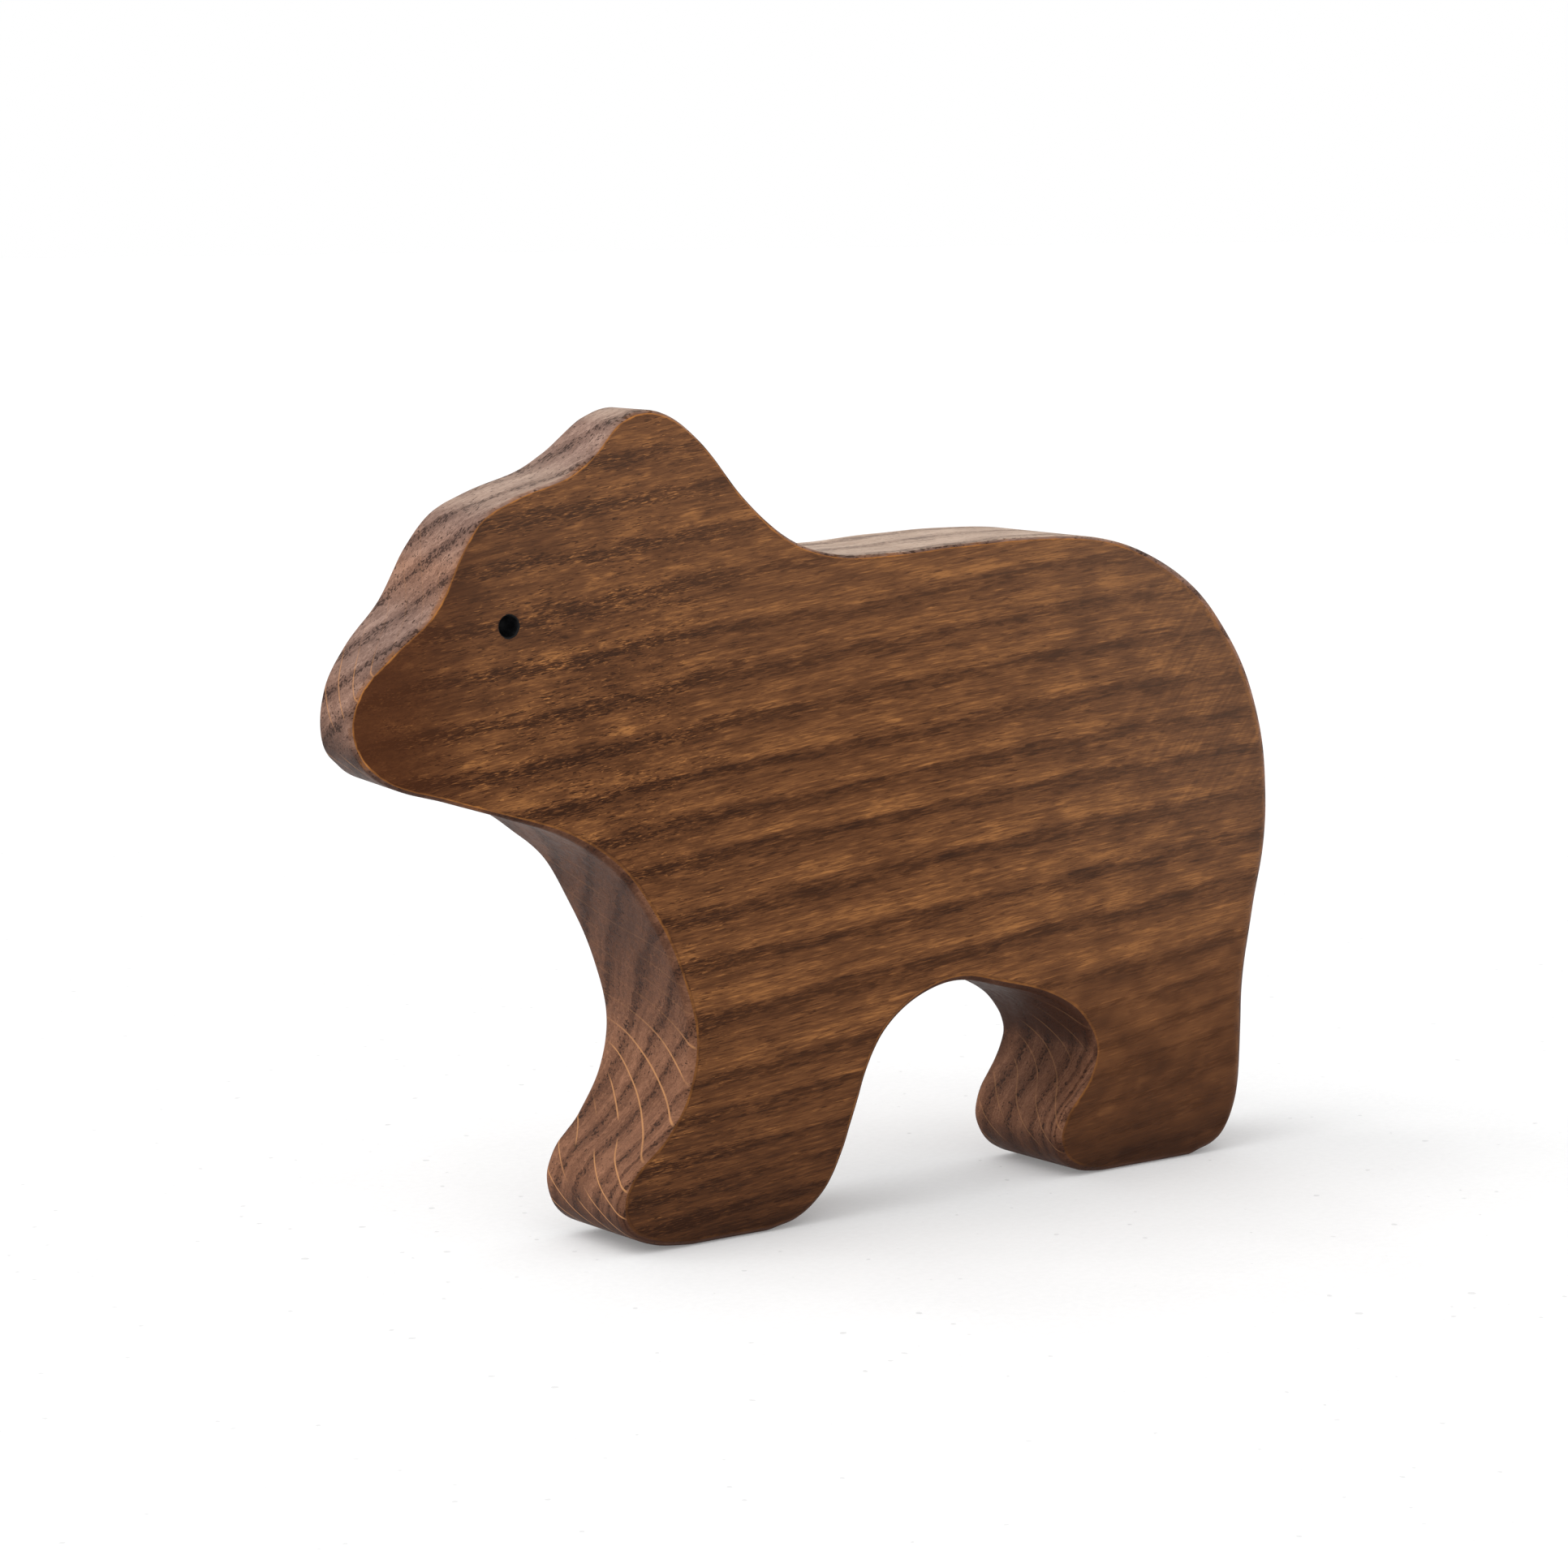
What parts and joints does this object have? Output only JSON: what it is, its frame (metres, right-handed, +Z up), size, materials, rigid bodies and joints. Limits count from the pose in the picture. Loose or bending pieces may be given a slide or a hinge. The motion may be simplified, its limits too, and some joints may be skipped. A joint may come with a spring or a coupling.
{
  "type": "wooden bear figurine",
  "caption": "Free-standing bear silhouette sawn from one hardwood board, with eased edges, a tapered head and a drilled, painted eye on each side.",
  "frame": {"origin": "on the ground, under the middle of the length and of the thickness", "axes": "+Z up, -X towards the snout, +X towards the rump, the two broad faces at -Y and +Y"},
  "size_m": [0.1519, 0.0206, 0.1103],
  "materials": {
    "stained_hardwood": "walnut-brown stained and oiled ring-porous hardwood, satin",
    "black_paint": "black paint, satin"
  },
  "bodies": {
    "root": {"bear_body": "stained_hardwood", "eye_left": "black_paint", "eye_right": "black_paint"}
  },
  "joints": []
}
